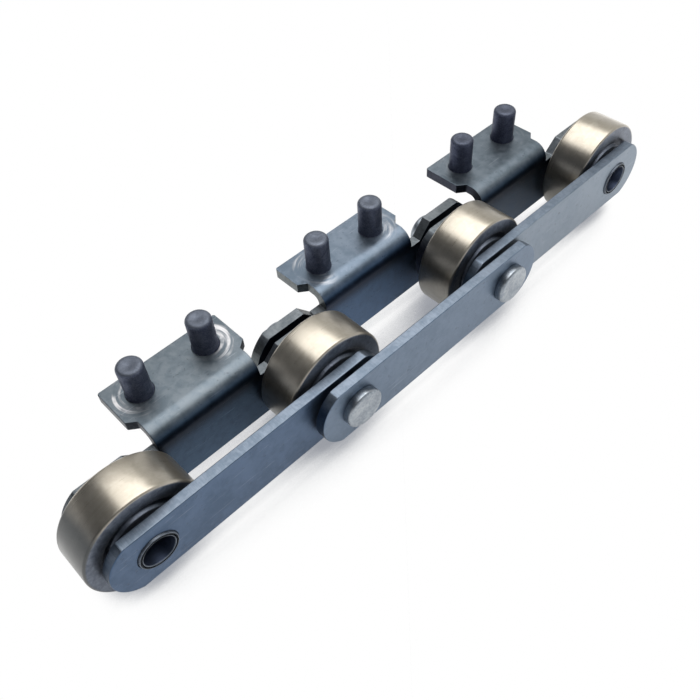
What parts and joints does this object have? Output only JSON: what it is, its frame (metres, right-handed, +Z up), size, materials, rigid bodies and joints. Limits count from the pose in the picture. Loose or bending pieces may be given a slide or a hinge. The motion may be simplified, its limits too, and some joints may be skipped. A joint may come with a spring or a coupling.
{
  "type": "roller conveyor chain length",
  "caption": "Length of heavy roller conveyor chain with bush and pin links; the far side plates are bent out into flat wings that carry upright studs.",
  "frame": {"origin": "middle of the first bush, on its axis", "axes": "+X along the chain from the first joint to the last, +Y across it towards the wings, +Z up along the studs"},
  "size_m": [0.354, 0.0768, 0.0634],
  "materials": {
    "plate_steel": "heat-treated steel, blue-grey, satin, lighter along the sheared edges",
    "wing_steel": "heat-treated steel, grey-green, satin, cloudy, brighter over the bend",
    "stud_steel": "blackened steel, satin",
    "bush_steel": "case-hardened steel, satin",
    "roller_steel": "turned steel, warm pewter grey, smooth and fairly bright",
    "pin_steel": "ground steel, silver grey, satin"
  },
  "bodies": {
    "first_link": {"first_link_near_plate": "plate_steel", "first_link_wing_plate": "wing_steel", "first_wing_stud_1": "stud_steel", "first_wing_stud_2": "stud_steel", "bush_1": "bush_steel", "bush_2": "bush_steel"},
    "middle_link": {"middle_link_near_plate": "plate_steel", "middle_link_wing_plate": "wing_steel", "middle_wing_stud_1": "stud_steel", "middle_wing_stud_2": "stud_steel", "pin_2": "pin_steel", "pin_3": "pin_steel"},
    "last_link": {"last_link_near_plate": "plate_steel", "last_link_wing_plate": "wing_steel", "last_wing_stud_1": "stud_steel", "last_wing_stud_2": "stud_steel", "bush_3": "bush_steel", "bush_4": "bush_steel"},
    "roller_1": {"roller_1": "roller_steel"},
    "roller_2": {"roller_2": "roller_steel"},
    "roller_3": {"roller_3": "roller_steel"},
    "roller_4": {"roller_4": "roller_steel"}
  },
  "joints": [
    {"name": "near_hinge", "type": "hinge", "parent": "first_link", "child": "middle_link", "pos_m": [0.1, 0, 0], "axis": [0, 1, 0], "range_deg": [-65, 90]},
    {"name": "far_hinge", "type": "hinge", "parent": "middle_link", "child": "last_link", "pos_m": [0.2, 0, 0], "axis": [0, 1, 0], "range_deg": [-65, 90]},
    {"name": "roller_1_spin", "type": "hinge", "parent": "first_link", "child": "roller_1", "pos_m": [0, 0, 0], "axis": [0, 1, 0], "continuous": true},
    {"name": "roller_2_spin", "type": "hinge", "parent": "first_link", "child": "roller_2", "pos_m": [0.1, 0, 0], "axis": [0, 1, 0], "continuous": true},
    {"name": "roller_3_spin", "type": "hinge", "parent": "last_link", "child": "roller_3", "pos_m": [0.2, 0, 0], "axis": [0, 1, 0], "continuous": true},
    {"name": "roller_4_spin", "type": "hinge", "parent": "last_link", "child": "roller_4", "pos_m": [0.3, 0, 0], "axis": [0, 1, 0], "continuous": true}
  ]
}
